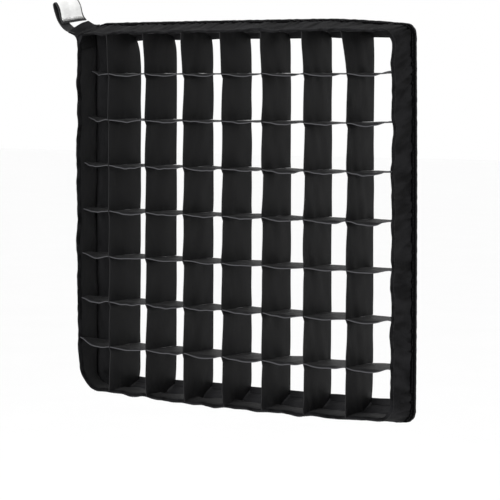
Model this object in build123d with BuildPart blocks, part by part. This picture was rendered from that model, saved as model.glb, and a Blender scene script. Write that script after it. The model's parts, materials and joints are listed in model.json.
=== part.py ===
"""Fabric egg-crate light-control grid for the front of a softbox or a flat LED panel.

Two spring-steel hoops are sewn into hems and hold a fabric band open between them. Seven upright and
seven level fabric strips cross in the band with half-lap slots and part it into 64 light cells.
X runs across, Y runs from the front (-Y) to the mounting side (+Y) and Z is up.
The origin is the centre of the rear opening, in the plane of the rear mounting face.
"""

import os
from collections import namedtuple

from build123d import *

# ---- driving dimensions, millimetres ----
columns = 8
rows = 8
grid_width = 496.0              # across all the columns, between the outer grid lines
grid_height = 474.4             # over all the rows
depth = 60.3                    # front edge to rear face

front_inset_x = 1.5             # front rim inside the outer grid lines, each side
front_inset_z = 0.2
front_bow = 4.0                 # how far each side of the rim bulges out at its middle
front_corner_radius = 32.0
rear_overhang_x = 1.0           # rear rim outside the outer grid lines, each side
rear_overhang_z = 9.8
rear_bow = 2.5
rear_corner_radius = 12.0
least_corner_radius = 3.0       # of any line drawn inside a rim

cloth = 1.2                     # doubled and stiffened fabric, as the strips and the band are cut
fit_gap = 0.3                   # left at every sewn edge between two pieces
slot_play = 0.3                 # each side of a strip in the slot that it crosses

front_hem_height = 9.0          # hem tube, across the rim and along the depth
front_hem_depth = 9.0
rear_hem_height = 15.0
rear_hem_depth = 12.0
rear_hem_nose = 9.0             # height of the tube's front face, before its bevel
rear_hem_bevel = 6.0            # length of the bevel along the depth
flange_width = 26.5             # from the rim's outer line to the inner edge of the flange
flange_thickness = 2.0

tape_thickness = 1.5            # hook tape around the rear of the band
binding_width = 3.0             # narrow edge binding behind the tape

hoop_width = 5.0                # flat spring steel, along the depth
hoop_thickness = 1.2
hoop_inset_front = 4.0          # from the rim's outer line to the hoop
hoop_inset_rear = 6.0
hoop_joint_gap = 1.5            # between the two ends of a hoop
ferrule_length = 40.0
ferrule_wall = 0.4
ferrule_play = 0.2
channel_play = 0.3              # around a ferrule in its hem

corner_cut_run = 19.0           # strip corners are cut away this far ahead of the rear face
panel_seam = 22.0               # from the rim's outer line to each seam of the band

webbing_width = 48.0            # pull tab, along the depth
webbing_thickness = 1.4
neck_width = 22.0               # where the tab is gathered at its root
tab_setback = 1.8               # from the front edge to the tab
label_margin = 2.5              # below the fold at the top of the tab
label_length = 23.0
label_width = 43.0
label_thickness = 0.5
patch_setback = 3.0             # corner patch, from the front edge
patch_rear_gap = 3.0            # from the corner patch to the rear end of the band

# ---- values that follow ----
Rim = namedtuple("Rim", "half_x half_z bow corner_radius")
front_rim = Rim(grid_width / 2 - front_inset_x, grid_height / 2 - front_inset_z,
                front_bow, front_corner_radius)
rear_rim = Rim(grid_width / 2 + rear_overhang_x, grid_height / 2 + rear_overhang_z,
               rear_bow, rear_corner_radius)
pitch_x = grid_width / columns
pitch_z = grid_height / rows
upright_lines = [(number - columns / 2) * pitch_x for number in range(1, columns)]
level_lines = [(number - rows / 2) * pitch_z for number in range(1, rows)]

band_front_y = -depth + front_hem_depth + fit_gap
band_rear_y = -rear_hem_depth - fit_gap
slot_width = cloth + 2 * slot_play
beyond = 2 * (rear_rim.half_x + rear_rim.half_z)   # longer than anything in the part


# ---- outlines and plain bodies ----
def at_depth(y):
    """Plane at one depth, seen from the front: its local x is X and its local y is Z."""
    return Plane.XZ.offset(-y)


def outline(rim, inset, y):
    """Barrel-sided rectangle with rounded corners, drawn evenly inside a rim's outer line."""
    side_x = rim.half_x - inset
    side_z = rim.half_z - inset
    corner_x = side_x - rim.bow
    corner_z = side_z - rim.bow
    with BuildSketch(at_depth(y)) as sketch:
        with BuildLine():
            ThreePointArc((-corner_x, corner_z), (0, side_z), (corner_x, corner_z))
            ThreePointArc((corner_x, corner_z), (side_x, 0), (corner_x, -corner_z))
            ThreePointArc((corner_x, -corner_z), (0, -side_z), (-corner_x, -corner_z))
            ThreePointArc((-corner_x, -corner_z), (-side_x, 0), (-corner_x, corner_z))
        make_face()
        fillet(sketch.vertices(), radius=max(rim.corner_radius - inset, least_corner_radius))
    return sketch.sketch


def slab(rim, inset, front_y, rear_y):
    """Straight body with a rim's outline, between two depths."""
    with BuildPart() as body:
        extrude(outline(rim, inset, rear_y), amount=rear_y - front_y)
    return body.part


def taper(front, front_inset, front_y, rear, rear_inset, rear_y):
    """Body that changes evenly from one outline to another between two depths."""
    with BuildPart() as body:
        loft(sections=[outline(front, front_inset, front_y), outline(rear, rear_inset, rear_y)])
    return body.part


def band_section(y):
    """The rim that the outside of the band has at one depth."""
    share = (y - band_front_y) / (band_rear_y - band_front_y)
    return Rim(*[low + share * (high - low) for low, high in zip(front_rim, rear_rim)])


def keep(piece, name):
    """Label one finished piece and write its file."""
    piece.part.label = name
    export_step(piece.part, f"parts/{name}.step")


os.makedirs("parts", exist_ok=True)


# ---- spring hoops, each with the ferrule that joins its ends ----
def ferrule_height():
    return hoop_thickness + 2 * ferrule_play + 2 * ferrule_wall


def ferrule_width():
    return hoop_width + 2 * ferrule_play + 2 * ferrule_wall


def hoop_bodies(rim, inset, middle_y):
    """Outer and inner bodies of a flat band that follows a rim."""
    low_y = middle_y - hoop_width / 2
    high_y = middle_y + hoop_width / 2
    return slab(rim, inset, low_y, high_y), slab(rim, inset + hoop_thickness, low_y, high_y)


front_hoop_y = -depth + front_hem_depth / 2
rear_hoop_y = -rear_hem_depth / 2

hoops = {
    "front": (front_rim, hoop_inset_front, front_hoop_y),
    "rear": (rear_rim, hoop_inset_rear, rear_hoop_y),
}
for end, (rim, inset, middle_y) in hoops.items():
    outside, inside = hoop_bodies(rim, inset, middle_y)
    joint_z = -(rim.half_z - inset - hoop_thickness / 2)
    with BuildPart() as hoop:
        add(outside)
        add(inside, mode=Mode.SUBTRACT)
        with Locations((0, middle_y, joint_z)):
            Box(hoop_joint_gap, 2 * hoop_width, 4 * hoop_thickness, mode=Mode.SUBTRACT)
    keep(hoop, f"{end}_spring_hoop")

    with BuildPart() as ferrule:
        with Locations((0, middle_y, joint_z)):
            Box(ferrule_length, ferrule_width(), ferrule_height())
            Box(ferrule_length, hoop_width + 2 * ferrule_play, hoop_thickness + 2 * ferrule_play,
                mode=Mode.SUBTRACT)
    keep(ferrule, f"{end}_hoop_ferrule")


# ---- front hem: a fabric tube around the front hoop ----
def channel(rim, inset, middle_y):
    """Outer and inner bodies of the hollow that a hem leaves for its hoop and ferrule."""
    side = (ferrule_height() - hoop_thickness) / 2 + channel_play
    half_width = ferrule_width() / 2 + channel_play
    low_y = middle_y - half_width
    high_y = middle_y + half_width
    return (slab(rim, inset - side, low_y, high_y),
            slab(rim, inset + hoop_thickness + side, low_y, high_y))


front_hem_rear_y = -depth + front_hem_depth
front_hem_outside = slab(front_rim, 0, -depth, front_hem_rear_y)
front_hem_inside = slab(front_rim, front_hem_height, -depth, front_hem_rear_y)
channel_outside, channel_inside = channel(front_rim, hoop_inset_front, front_hoop_y)
with BuildPart() as front_channel:
    add(channel_outside)
    add(channel_inside, mode=Mode.SUBTRACT)
with BuildPart() as front_hem:
    add(front_hem_outside)
    add(front_hem_inside, mode=Mode.SUBTRACT)
    add(front_channel.part, mode=Mode.SUBTRACT)
keep(front_hem, "front_hem")


# ---- rear hem: a bevelled tube around the rear hoop, with a flat flange turned inwards ----
bevel_end_y = -rear_hem_depth + rear_hem_bevel
rear_hem_outside = slab(rear_rim, tape_thickness, -rear_hem_depth, 0)
rear_bevel = taper(rear_rim, rear_hem_nose, -rear_hem_depth, rear_rim, rear_hem_height, bevel_end_y)
rear_hollow = slab(rear_rim, rear_hem_height, bevel_end_y, -flange_thickness)
rear_opening = slab(rear_rim, flange_width, -flange_thickness, 0)
channel_outside, channel_inside = channel(rear_rim, hoop_inset_rear, rear_hoop_y)
with BuildPart() as rear_channel:
    add(channel_outside)
    add(channel_inside, mode=Mode.SUBTRACT)
with BuildPart() as rear_hem:
    add(rear_hem_outside)
    add(rear_bevel, mode=Mode.SUBTRACT)
    add(rear_hollow, mode=Mode.SUBTRACT)
    add(rear_opening, mode=Mode.SUBTRACT)
    add(rear_channel.part, mode=Mode.SUBTRACT)
keep(rear_hem, "rear_hem")

# ---- hook tape and edge binding around the outside of the rear hem ----
tape_body = slab(rear_rim, 0, -rear_hem_depth, -binding_width)
binding_body = slab(rear_rim, 0, -binding_width, 0)
with BuildPart() as grip_tape:
    add(tape_body)
    add(rear_hem_outside, mode=Mode.SUBTRACT)
keep(grip_tape, "grip_tape")
with BuildPart() as edge_binding:
    add(binding_body)
    add(rear_hem_outside, mode=Mode.SUBTRACT)
keep(edge_binding, "edge_binding")

# ---- side band: four panels, each turning one corner, seamed where the next one starts ----
band_outside = taper(front_rim, 0, band_front_y, rear_rim, 0, band_rear_y)
band_inside = taper(front_rim, cloth, band_front_y, rear_rim, cloth, band_rear_y)
seam_x = front_rim.half_x - panel_seam
seam_z = front_rim.half_z - panel_seam
panel_areas = {                 # low and high x, low and high z
    "band_panel_right": (seam_x, beyond, -seam_z, beyond),
    "band_panel_top": (-beyond, seam_x, seam_z, beyond),
    "band_panel_left": (-beyond, -seam_x, -beyond, seam_z),
    "band_panel_bottom": (-seam_x, beyond, -beyond, -seam_z),
}
for name, (low_x, high_x, low_z, high_z) in panel_areas.items():
    with BuildPart() as panel:
        add(band_outside)
        add(band_inside, mode=Mode.SUBTRACT)
        with Locations(((low_x + high_x) / 2, -depth / 2, (low_z + high_z) / 2)):
            Box(high_x - low_x, 2 * depth, high_z - low_z, mode=Mode.INTERSECT)
    keep(panel, name)

# ---- the room for the strips: inside the hems and the band, clear of the rear tube and flange ----
cut_start_y = -corner_cut_run
strip_rear_rim = band_section(cut_start_y)
wall_inset = cloth + fit_gap
room_front = slab(front_rim, front_hem_height + fit_gap, -depth, band_front_y)
room_middle = taper(front_rim, wall_inset, band_front_y, strip_rear_rim, wall_inset, cut_start_y)
room_rear = taper(strip_rear_rim, wall_inset, cut_start_y,
                  rear_rim, flange_width + fit_gap, -flange_thickness)
room_end = slab(rear_rim, flange_width + fit_gap, -flange_thickness, 0)
with BuildPart() as strip_room:
    add(room_front)
    add(room_middle)
    add(room_rear)
    add(room_end)

# ---- upright strips, slotted from the rear, and level strips, slotted from the front ----
half_lap = depth / 2 + slot_play
for number, x in enumerate(upright_lines, start=1):
    with BuildPart() as upright_strip:
        add(strip_room.part)
        with Locations((x, -depth / 2, 0)):
            Box(cloth, depth, beyond, mode=Mode.INTERSECT)
        with Locations(*[(x, -half_lap / 2, z) for z in level_lines]):
            Box(2 * cloth, half_lap, slot_width, mode=Mode.SUBTRACT)
    keep(upright_strip, f"upright_strip_{number}")
for number, z in enumerate(level_lines, start=1):
    with BuildPart() as level_strip:
        add(strip_room.part)
        with Locations((0, -depth / 2, z)):
            Box(beyond, depth, cloth, mode=Mode.INTERSECT)
        with Locations(*[(x, -depth + half_lap / 2, z) for x in upright_lines]):
            Box(slot_width, half_lap, 2 * cloth, mode=Mode.SUBTRACT)
    keep(level_strip, f"level_strip_{number}")

# ---- corner patch: the fold of cloth that carries the pull tab, on the upper left corner ----
patch_front_y = -depth + patch_setback
patch_rear_y = band_rear_y - patch_rear_gap
corner_x = -front_rim.half_x
corner_z = front_rim.half_z
rear_corner_x = -rear_rim.half_x
rear_corner_z = rear_rim.half_z
with BuildPart() as corner_patch:
    with BuildSketch(at_depth(patch_front_y)):
        Polygon((corner_x + 14, corner_z - 14), (corner_x - 4.5, corner_z - 4),
                (corner_x + 4.5, corner_z + 4), (corner_x + 22, corner_z - 1), align=None)
    with BuildSketch(at_depth(patch_rear_y)):
        Polygon((rear_corner_x + 9, rear_corner_z - 12), (rear_corner_x - 7, rear_corner_z - 1.5),
                (rear_corner_x + 2, rear_corner_z + 1.5), (rear_corner_x + 14, rear_corner_z - 1),
                align=None)
    loft()
    add(taper(front_rim, -fit_gap, band_front_y, rear_rim, -fit_gap, band_rear_y), mode=Mode.SUBTRACT)
    add(slab(front_rim, -fit_gap, -2 * depth, band_front_y), mode=Mode.SUBTRACT)
keep(corner_patch, "corner_patch")

# ---- pull tab: webbing folded over into two legs, gathered at its neck, with a blank label ----
tab_front_y = -depth + tab_setback
tab_rear_y = tab_front_y + webbing_width
root_x = corner_x - 5.5
root_z = corner_z - 2.5
leg_top = (root_x - 23.5, root_z + 40.5)
leg_foot = (root_x - 11.5, root_z + 14.0)
tab_route = [(root_x, root_z), (root_x - 10.0, root_z + 4.5), (root_x - 18.5, root_z + 12.5),
             (root_x - 24.5, root_z + 21.5), (root_x - 29.5, root_z + 36.5), leg_top, leg_foot]
tab_bends = [6.0, 12.0, 12.0, 2.0, 2.0]
with BuildPart() as pull_tab:
    with BuildSketch(at_depth(tab_rear_y)):
        with BuildLine():
            FilletPolyline(*tab_route, radius=tab_bends)
            offset(amount=webbing_thickness, side=Side.LEFT)
        make_face()
    extrude(amount=webbing_width)
    with Locations((root_x - 4, (tab_front_y + neck_width + tab_rear_y) / 2, root_z + 4)):
        Box(20, webbing_width - neck_width, 18, mode=Mode.SUBTRACT)
keep(pull_tab, "pull_tab")

leg_line = Vector(leg_foot[0] - leg_top[0], leg_foot[1] - leg_top[1]).normalized()
leg_normal = Vector(-leg_line.Y, leg_line.X)
label_start = Vector(*leg_top) + leg_line * label_margin + leg_normal * webbing_thickness
label_corners = [label_start, label_start + leg_line * label_length]
label_corners += [corner + leg_normal * label_thickness for corner in reversed(label_corners)]
label_rear_y = (tab_front_y + tab_rear_y + label_width) / 2
with BuildPart() as tab_label:
    with BuildSketch(at_depth(label_rear_y)):
        Polygon(*label_corners, align=None)
    extrude(amount=label_width)
keep(tab_label, "tab_label")
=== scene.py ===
"""Looks of a fabric egg-crate light-control grid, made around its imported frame.

Cloth walls run between two hemmed rims, seven upright and seven level cloth strips cross between them,
and a webbing pull tab with a blank label hangs on the upper left corner.
X runs across, Y from the front (-Y) to the mounting side and Z up, in metres.
"""

import json
import math

import bmesh
import bpy
import numpy as np
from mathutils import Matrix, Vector


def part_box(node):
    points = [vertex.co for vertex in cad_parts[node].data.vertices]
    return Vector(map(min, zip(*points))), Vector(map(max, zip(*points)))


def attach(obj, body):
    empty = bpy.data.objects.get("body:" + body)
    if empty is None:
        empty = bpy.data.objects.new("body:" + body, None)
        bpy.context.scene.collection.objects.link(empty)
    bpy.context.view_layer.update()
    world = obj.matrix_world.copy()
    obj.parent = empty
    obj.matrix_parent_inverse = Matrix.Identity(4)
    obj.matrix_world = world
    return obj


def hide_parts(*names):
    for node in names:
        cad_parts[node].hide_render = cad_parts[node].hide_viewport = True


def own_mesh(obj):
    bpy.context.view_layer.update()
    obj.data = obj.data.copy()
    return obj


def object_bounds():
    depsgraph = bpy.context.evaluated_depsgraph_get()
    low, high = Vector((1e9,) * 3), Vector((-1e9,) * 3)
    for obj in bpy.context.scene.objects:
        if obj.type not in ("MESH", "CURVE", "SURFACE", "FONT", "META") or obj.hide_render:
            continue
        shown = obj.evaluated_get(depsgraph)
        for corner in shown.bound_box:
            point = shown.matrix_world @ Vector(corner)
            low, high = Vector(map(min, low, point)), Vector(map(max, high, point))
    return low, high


bl_info = {
    "name": "Egg-crate Grid Looks",
    "version": (1, 0, 0),
    "blender": (4, 5, 0),
    "location": "3D View > Sidebar > Egg Crate",
    "description": "Cloth, tape, webbing and stitches of a fabric egg-crate light-control grid",
    "category": "Object",
}

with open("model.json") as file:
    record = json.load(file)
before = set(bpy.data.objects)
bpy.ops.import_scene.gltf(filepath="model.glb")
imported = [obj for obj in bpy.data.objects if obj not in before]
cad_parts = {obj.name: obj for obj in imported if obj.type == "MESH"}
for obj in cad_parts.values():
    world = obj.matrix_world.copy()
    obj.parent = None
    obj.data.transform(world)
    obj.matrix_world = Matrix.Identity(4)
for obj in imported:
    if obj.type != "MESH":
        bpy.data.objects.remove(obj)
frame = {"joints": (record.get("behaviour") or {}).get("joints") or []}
CAD_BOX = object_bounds()

MM = 0.001
COUNT = 7                                   # strips each way
FRONT_LOW, FRONT_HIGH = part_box("front_hem")
REAR_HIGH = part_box("rear_hem")[1]
TAPE_LOW, TAPE_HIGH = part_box("grip_tape")
TAB_LOW, TAB_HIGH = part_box("pull_tab")

FRONT_Y = FRONT_LOW.y                       # front edge of everything
HEM_BACK_Y = FRONT_HIGH.y                   # rear edge of the front hem
SEAM_Y = HEM_BACK_Y - 3.2 * MM              # where the hem's cloth ends and the wall's begins
REAR_Y = REAR_HIGH.y                        # the mounting face
TAPE_FRONT_Y = TAPE_LOW.y
TAPE_BACK_Y = TAPE_HIGH.y
DEPTH = REAR_Y - FRONT_Y
CREST_Y = REAR_Y - 28 * MM                  # where the wall's lining stands furthest in


def middle(node, axis):
    low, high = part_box(node)
    return (low[axis] + high[axis]) / 2


UPRIGHT_LINES = np.array([middle(f"upright_strip_{n}", 0) for n in range(1, COUNT + 1)])
LEVEL_LINES = np.array([middle(f"level_strip_{n}", 2) for n in range(1, COUNT + 1)])
PITCH_X = UPRIGHT_LINES[1] - UPRIGHT_LINES[0]
PITCH_Z = LEVEL_LINES[1] - LEVEL_LINES[0]
FLATTEN = next(joint for joint in frame["joints"] if joint["name"] == "flatten")
FLATTEN_TRAVEL = FLATTEN["range_m"][1]


# ---- settings that a user would change ----
def length_setting(name, description, default, low, high):
    return bpy.props.FloatProperty(name=name, description=description, default=default * MM,
                                   min=low * MM, max=high * MM, unit="LENGTH")


def colour_setting(name, description, default):
    return bpy.props.FloatVectorProperty(name=name, description=description, default=default,
                                         size=3, min=0, max=1, subtype="COLOR")


class GridSizes(bpy.types.PropertyGroup):
    cloth: length_setting("Cloth", "Thickness of the doubled strip cloth", 0.9, 0.2, 3)
    droop: length_setting("Droop", "How far a level strip's front edge sinks between two uprights",
                          3.6, 0, 12)
    step: length_setting("Step", "How far an upright's front edge steps aside under a crossing", 2.4, 0, 8)
    pucker: length_setting("Pucker", "Depth of the small gathers along the tape's seam", 1.5, 0, 4)
    stitch: length_setting("Stitch", "Distance from one stitch to the next", 3.6, 1.5, 10)
    thread: length_setting("Thread", "Radius of the sewing thread", 0.22, 0.05, 1)


class GridColours(bpy.types.PropertyGroup):
    cloth: colour_setting("Cloth", "Strips, walls and hems", (0.0068, 0.0068, 0.0074))
    tape: colour_setting("Hook tape", "Tape around the rear rim", (0.0034, 0.0034, 0.0037))
    binding: colour_setting("Binding", "Woven binding behind the tape", (0.010, 0.010, 0.0105))
    webbing: colour_setting("Webbing", "Pull tab", (0.010, 0.010, 0.0105))
    label: colour_setting("Label", "Blank woven label", (0.86, 0.86, 0.85))
    thread: colour_setting("Thread", "Sewing thread", (0.016, 0.016, 0.017))
    steel: colour_setting("Steel", "Spring hoops and their sleeves", (0.42, 0.42, 0.43))


# ---- material expressions ----
class Value:
    """A node's output that Python's operators turn into Math nodes."""

    def __init__(self, finish, socket):
        self.finish = finish
        self.socket = socket

    def _with(self, operation, first, second=None):
        inputs = [first] if second is None else [first, second]
        return self.finish.node("ShaderNodeMath", {"operation": operation}, inputs)

    def __add__(self, other):
        return self._with("ADD", self, other)

    def __radd__(self, other):
        return self._with("ADD", other, self)

    def __sub__(self, other):
        return self._with("SUBTRACT", self, other)

    def __rsub__(self, other):
        return self._with("SUBTRACT", other, self)

    def __mul__(self, other):
        return self._with("MULTIPLY", self, other)

    def __rmul__(self, other):
        return self._with("MULTIPLY", other, self)

    def sine(self):
        return self._with("SINE", self)

    def absolute(self):
        return self._with("ABSOLUTE", self)


class Finish:
    """One procedural material, with a single way to add a node."""

    def __init__(self, name, **uniform):
        self.material = bpy.data.materials.new(name)
        self.material.use_nodes = True
        self.tree = self.material.node_tree
        self.shader = self.tree.nodes["Principled BSDF"]
        for socket, value in uniform.items():
            self.shader.inputs[socket.replace("_", " ")].default_value = value

    def node(self, kind, settings=None, inputs=(), output=0):
        """Adds a node: its settings first, then the values or links of its sockets."""
        made = self.tree.nodes.new(kind)
        for key, value in (settings or {}).items():
            if key == "stops":
                self.set_stops(made.color_ramp.elements, value)
            else:
                setattr(made, key, value)
        pairs = inputs.items() if isinstance(inputs, dict) else enumerate(inputs)
        for key, value in pairs:
            self.link(value, made.inputs[key])
        return Value(self, made.outputs[output])

    def link(self, value, socket):
        if isinstance(value, Value):
            self.tree.links.new(value.socket, socket)
        else:
            socket.default_value = value

    @staticmethod
    def set_stops(elements, stops):
        for number, (place, tone) in enumerate(stops):
            element = elements[number] if number < 2 else elements.new(place)
            element.position = place
            element.color = (*tone, 1)

    def ramp(self, factor, stops):
        return self.node("ShaderNodeValToRGB", {"stops": stops}, {"Fac": factor})

    def mix(self, factor, first, second, blend="MIX"):
        """Mix of two colours, whose sockets are the node's seventh and eighth."""
        return self.node("ShaderNodeMix", {"data_type": "RGBA", "blend_type": blend},
                         {"Factor": factor, 6: first, 7: second}, output=2)

    def noise(self, vector, scale, detail=2.0, rough=0.5):
        return self.node("ShaderNodeTexNoise", None,
                         {"Vector": vector, "Scale": scale, "Detail": detail, "Roughness": rough})

    def place(self):
        return self.node("ShaderNodeTexCoord", output="Object")

    def stretched(self, vector, scale):
        return self.node("ShaderNodeMapping", None, {"Vector": vector, "Scale": scale})

    def along_cloth(self):
        """Metres along the cloth and across it, from the piece's own UV map."""
        uv = self.node("ShaderNodeUVMap", {"uv_map": "cloth"})
        along = self.node("ShaderNodeSeparateXYZ", None, [uv])
        return along, Value(self, along.socket.node.outputs["Y"])

    def bump(self, height, distance, strength, below=None):
        inputs = {"Height": height, "Distance": distance, "Strength": strength}
        if below is not None:
            inputs["Normal"] = below
        return self.node("ShaderNodeBump", None, inputs)

    def finish(self, **sockets):
        for socket, value in sockets.items():
            self.link(value, self.shader.inputs[socket.replace("_", " ")])
        return self.material


def shade(tone, factor):
    return tuple(min(1.0, channel * factor) for channel in tone)


def mottled(tone, dark, light, low=0.3, high=0.7):
    """Stops of a ramp from a darker to a lighter shade of one colour."""
    return [(low, shade(tone, dark)), (high, shade(tone, light))]


def weave_height(finish, thread):
    """Plain weave: threads over and under each other, as one height field."""
    u, v = finish.along_cloth()
    turn = math.pi / thread
    return (u * turn).sine() * (v * turn).sine()


def cloth_finish(name, tone, thread=0.45 * MM, rough=(0.62, 0.8), gloss=0.08, sheen=0.02, lip=0.0,
                 folds=0.0):
    """Woven cloth: weave, slight mottling and soft creases that run at random, with painted shade in the
    folds and a painted highlight on a front lip where asked.
    """
    finish = Finish(name, Sheen_Weight=sheen, Sheen_Roughness=0.45, Specular_IOR_Level=gloss)
    place = finish.place()
    weave = weave_height(finish, thread)
    cloud = finish.noise(place, 28.0, 4.0, 0.6)
    slub = finish.noise(finish.stretched(place, (900, 900, 120)), 1.0, 2.0)
    crease = finish.noise(finish.stretched(place, (60, 60, 24)), 1.0, 5.0, 0.65)
    creased = finish.bump(crease, 1.1 * MM, 0.55)
    body = finish.ramp(cloud * 0.7 + slub * 0.3, mottled(tone, 0.75, 1.35, 0.25, 0.75))
    # painted shade in the wall's folds, multiplied into its colour
    if folds:
        body = finish.mix(1.0, body, fold_shade(finish, folds), "MULTIPLY")
    # painted highlight: the front lip's colour made lighter, where light catches the drooping edge
    if lip:
        body = finish.mix(lip_highlight_share(finish, lip), body, (*shade(tone, LIP_PAINTED_HIGHLIGHT), 1))
    return finish.finish(
        Base_Color=body,
        Roughness=cloud * (rough[1] - rough[0]) + rough[0],
        Normal=finish.bump(weave + slub * 0.6, 0.05 * MM, 0.8, creased))


def fold_shade(finish, depth):
    """Painted shade in the soft folds that run across a wall, with painted light on the cloth between them.
    """
    u, v = finish.along_cloth()
    across_wall = finish.node("ShaderNodeCombineXYZ", None, {"X": u * 62.0, "Y": v * 17.0})
    crease = finish.noise(across_wall, 1.0, 3.0, 0.55)
    return finish.ramp(crease, [(0.40, (1 - depth,) * 3), (0.52, (1.0,) * 3), (0.66, (1.25,) * 3)])


LIP_PAINTED_HIGHLIGHT = 7                             # painted highlight along a strip's front lip: how many times lighter than its cloth
LIP_HIGHLIGHT_BLEND = 0.3 * MM


def lip_highlight_share(finish, width):
    """1 on the painted highlight along a front lip of this width and 0 beyond it."""
    across = finish.along_cloth()[1]
    return (width + LIP_HIGHLIGHT_BLEND - across) * (1 / LIP_HIGHLIGHT_BLEND)


def hook_finish(name, tone):
    """Hook tape: rows of tiny stiff hooks, very matt."""
    finish = Finish(name, Sheen_Weight=0.0, Specular_IOR_Level=0.0)
    hooks = weave_height(finish, 0.8 * MM)
    fuzz = finish.noise(finish.place(), 900.0, 2.0)
    return finish.finish(
        Base_Color=finish.ramp(hooks * 0.35 + fuzz * 0.5 + 0.2, mottled(tone, 0.5, 1.9, 0.2, 0.8)),
        Roughness=fuzz * 0.1 + 0.86,
        Normal=finish.bump(hooks.absolute() + fuzz * 0.5, 0.5 * MM, 0.9))


def webbing_finish(name, tone):
    """Woven webbing: chevron ribs that run the length of the tape."""
    finish = Finish(name, Sheen_Weight=0.05, Sheen_Roughness=0.4, Specular_IOR_Level=0.25)
    u, v = finish.along_cloth()
    chevron = (v * (math.pi / (1.6 * MM))).sine().absolute() * (1.2 * MM) + u
    rib = (chevron * (math.pi / (1.1 * MM))).sine().absolute()
    fuzz = finish.noise(finish.place(), 400.0, 3.0)
    return finish.finish(
        Base_Color=finish.ramp(rib * 0.6 + fuzz * 0.4, mottled(tone, 0.55, 1.6, 0.1, 0.9)),
        Roughness=fuzz * 0.2 + 0.58,
        Normal=finish.bump(rib, 0.3 * MM, 0.7))


def label_finish(name, tone):
    """Blank woven satin label."""
    finish = Finish(name, Sheen_Weight=0.15, Sheen_Roughness=0.3, Specular_IOR_Level=0.4)
    weave = weave_height(finish, 0.35 * MM)
    cloud = finish.noise(finish.place(), 90.0, 3.0)
    return finish.finish(
        Base_Color=finish.ramp(cloud, mottled(tone, 0.93, 1.0)),
        Roughness=cloud * 0.15 + 0.5,
        Normal=finish.bump(weave, 0.05 * MM, 0.5, finish.bump(cloud, 0.6 * MM, 0.5)))


def thread_finish(name, tone):
    """Two-ply sewing thread."""
    finish = Finish(name, Sheen_Weight=0.05, Sheen_Roughness=0.4, Specular_IOR_Level=0.3)
    ply = finish.node("ShaderNodeTexWave", {"bands_direction": "DIAGONAL"},
                      {"Vector": finish.place(), "Scale": 900.0, "Distortion": 1.5})
    return finish.finish(
        Base_Color=finish.ramp(ply, mottled(tone, 0.6, 1.5, 0.2, 0.8)),
        Roughness=ply * 0.15 + 0.5,
        Normal=finish.bump(ply, 0.08 * MM, 0.6))


def steel_finish(name, tone):
    """Flat spring steel with drawn lines along it and a few dull patches."""
    finish = Finish(name, Metallic=1.0, Specular_IOR_Level=0.5)
    place = finish.place()
    drawn = finish.noise(finish.stretched(place, (20, 2600, 20)), 1.0, 3.0)
    patch = finish.noise(place, 35.0, 4.0, 0.6)
    return finish.finish(
        Base_Color=finish.ramp(patch, mottled(tone, 0.8, 1.15)),
        Roughness=drawn * 0.18 + patch * 0.12 + 0.2,
        Normal=finish.bump(drawn, 0.03 * MM, 0.5))


# ---- smooth random fields ----
class Ripple:
    """A smooth field over a cloth's two directions: a few waves with fixed random headings."""

    def __init__(self, seed, length, count=7, spread=0.5, stretch=(1.0, 1.0)):
        draw = np.random.default_rng(seed)
        self.turn = 2 * math.pi / (length * draw.uniform(1 - spread, 1 + spread, count))
        self.heading = draw.uniform(0, 2 * math.pi, count)
        self.phase = draw.uniform(0, 2 * math.pi, count)
        self.stretch = stretch

    def __call__(self, u, v):
        total = 0
        for turn, heading, phase in zip(self.turn, self.heading, self.phase):
            total = total + np.sin(turn * (u * math.cos(heading) / self.stretch[0]
                                           + v * math.sin(heading) / self.stretch[1]) + phase)
        return total / math.sqrt(len(self.turn))


def ease(value, low, high):
    """0 below low, 1 above high, smooth between."""
    share = np.clip((value - low) / (high - low), 0, 1)
    return share * share * (3 - 2 * share)


def bell(value, centre, width):
    return np.exp(-((value - centre) / width) ** 2)


# ---- meshes ----
def new_piece(name, vertices, faces, uvs, materials, sharp=55.0, slots=None):
    """Closed mesh piece at the origin, with its faces outwards and a UV map in metres."""
    mesh = bpy.data.meshes.new(name)
    mesh.from_pydata([tuple(v) for v in vertices], [], [tuple(f) for f in faces])
    layer = mesh.uv_layers.new(name="cloth")
    layer.data.foreach_set("uv", np.asarray(uvs, np.float32).ravel())
    for material in materials:
        mesh.materials.append(material)
    if slots is not None:
        mesh.polygons.foreach_set("material_index", slots)
    work = bmesh.new()
    work.from_mesh(mesh)
    bmesh.ops.recalc_face_normals(work, faces=work.faces)
    work.to_mesh(mesh)
    work.free()
    mesh.shade_smooth()
    mesh.set_sharp_from_angle(angle=math.radians(sharp))
    made = bpy.data.objects.new(name, mesh)
    bpy.context.scene.collection.objects.link(made)
    return made


def steps_along(line):
    """Metres along a line of points, from its first point."""
    return np.concatenate([[0], np.cumsum(np.linalg.norm(np.diff(line, axis=0), axis=1))])


def sheet_faces(shape, keep):
    """Quads of both sides of a sheet and of its edge, as grid corner pairs and layer numbers."""
    rows, columns = shape
    i, j = np.nonzero(keep)
    corners = np.stack([np.stack([i, j], 1), np.stack([i + 1, j], 1),
                        np.stack([i + 1, j + 1], 1), np.stack([i, j + 1], 1)], 1)
    ids = corners[..., 0] * columns + corners[..., 1]
    starts = ids.ravel()
    ends = np.roll(ids, -1, axis=1).ravel()
    first = corners.reshape(-1, 2)
    second = np.roll(corners, -1, axis=1).reshape(-1, 2)
    total = rows * columns
    codes = starts * total + ends
    reverse = ends * total + starts
    edge = ~np.isin(codes, reverse)
    starts, ends = starts[edge], ends[edge]
    rim_quads = np.stack([ends, starts, starts + total, ends + total], 1)
    quads = np.concatenate([ids, ids[:, ::-1] + total, rim_quads])
    places = np.concatenate([corners, corners[:, ::-1],
                             np.stack([second[edge], first[edge], first[edge], second[edge]], 1)])
    return quads, places


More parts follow.
